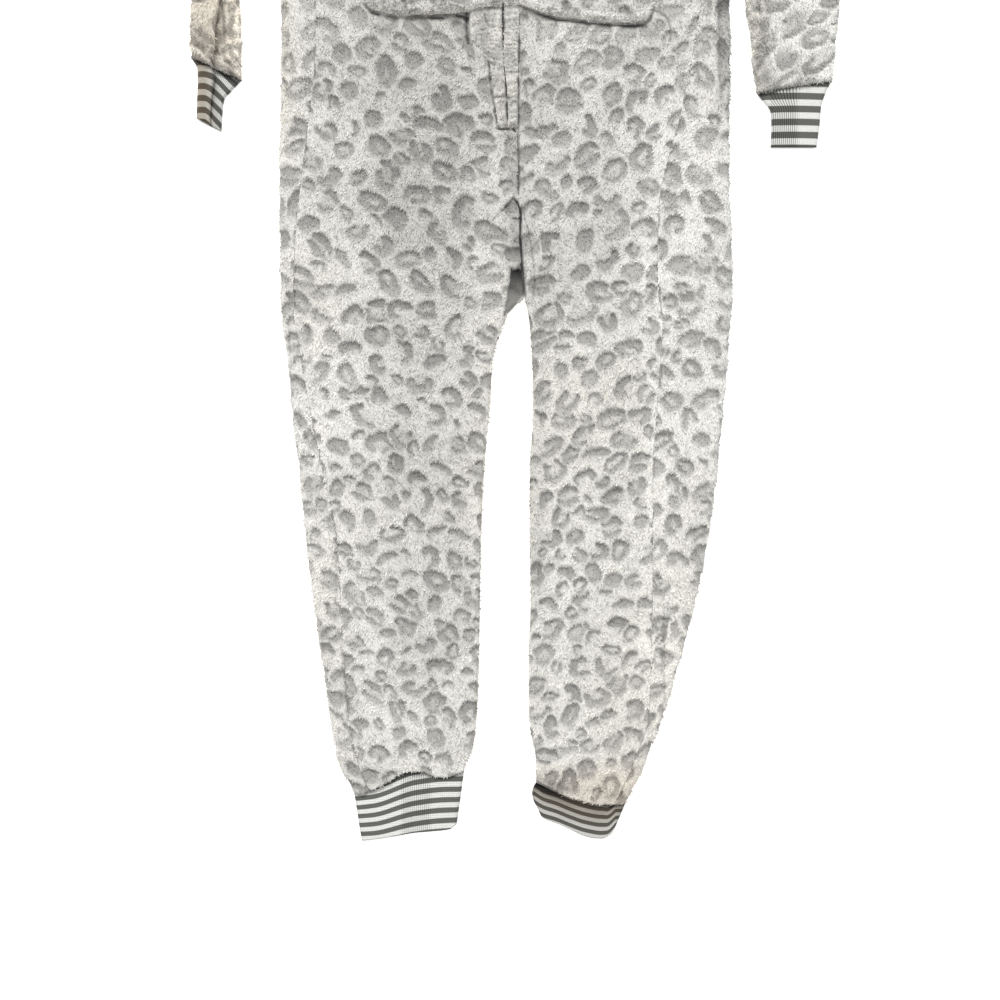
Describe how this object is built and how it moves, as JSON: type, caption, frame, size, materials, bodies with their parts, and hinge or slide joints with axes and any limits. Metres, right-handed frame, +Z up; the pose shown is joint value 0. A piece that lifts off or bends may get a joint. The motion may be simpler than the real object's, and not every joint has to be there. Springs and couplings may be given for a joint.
{
  "type": "onesie pajama",
  "caption": "Plush one-piece pajama laid flat, front up, with a front zip, long sleeves and legs, a kangaroo pocket and striped rib cuffs.",
  "frame": {"origin": "middle of the bounding box's underside, on the surface that the garment lies on", "axes": "+Y from the feet to the neck, +Z up off the surface, from the back to the front, +X from the wearer's right to the wearer's left"},
  "size_m": [0.7816, 1.479, 0.0236],
  "materials": {
    "plush": "soft embossed pile",
    "striped_rib": "ribbed knit, striped",
    "zip_cloth": "woven tape",
    "zip_metal": "satin"
  },
  "bodies": {
    "garment": {"front_right": "plush", "front_left": "plush", "back_right": "plush", "back_left": "plush", "sleeve_right": "plush", "sleeve_left": "plush", "pocket_right": "plush", "pocket_left": "plush", "zip_guard_right": "plush", "zip_guard_left": "plush", "sleeve_cuff_right": "striped_rib", "sleeve_cuff_left": "striped_rib", "leg_cuff_right": "striped_rib", "leg_cuff_left": "striped_rib", "zip_tape_right": "zip_cloth", "zip_tape_left": "zip_cloth", "zip_slider": "zip_metal"},
    "pull": {"zip_pull": "zip_metal"}
  },
  "joints": [
    {"name": "pull_hinge", "type": "hinge", "parent": "garment", "child": "pull", "pos_m": [-0.01007, 0.6335, 0.012], "axis": [-1, 0, 0], "range_deg": [0, 170]}
  ]
}
